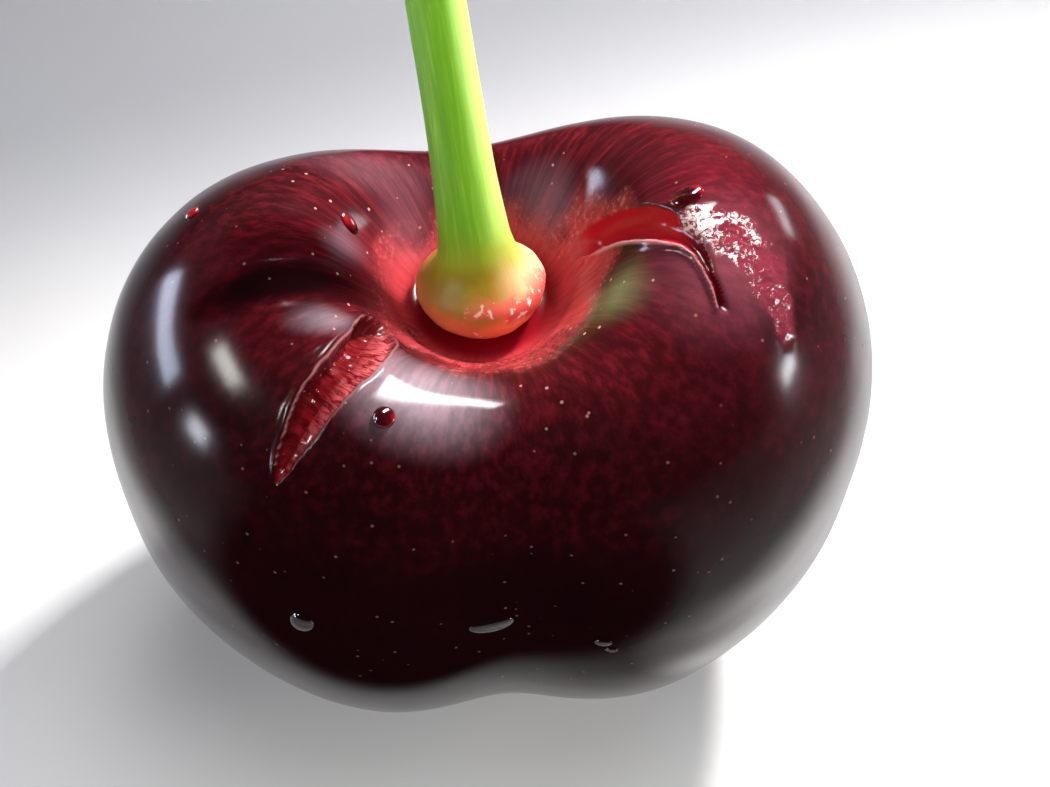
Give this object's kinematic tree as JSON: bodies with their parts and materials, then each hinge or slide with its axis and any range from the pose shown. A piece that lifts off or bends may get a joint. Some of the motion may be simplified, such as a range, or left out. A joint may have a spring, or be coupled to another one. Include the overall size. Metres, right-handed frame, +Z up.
{
  "type": "sweet cherry",
  "caption": "Ripe dark sweet cherry with two full cheeks, a deep stem cavity, healed skin cracks and a long green stem, resting on its base.",
  "frame": {"origin": "centre of the small flat spot that the fruit rests on, under its stem cavity", "axes": "+Z up along the fruit's own axis through base and stem cavity; X across the two cheeks, with the higher cheek on +X; the suture dent faces -Y and the stem leans to +Y"},
  "size_m": [0.0269, 0.0266, 0.0583],
  "materials": {
    "skin": "smooth glossy fruit skin, dark maroon with red mottling",
    "stem": "fresh green stem, satin, with a yellow and orange foot"
  },
  "bodies": {
    "root": {"fruit": "skin", "stem": "stem"}
  },
  "joints": []
}
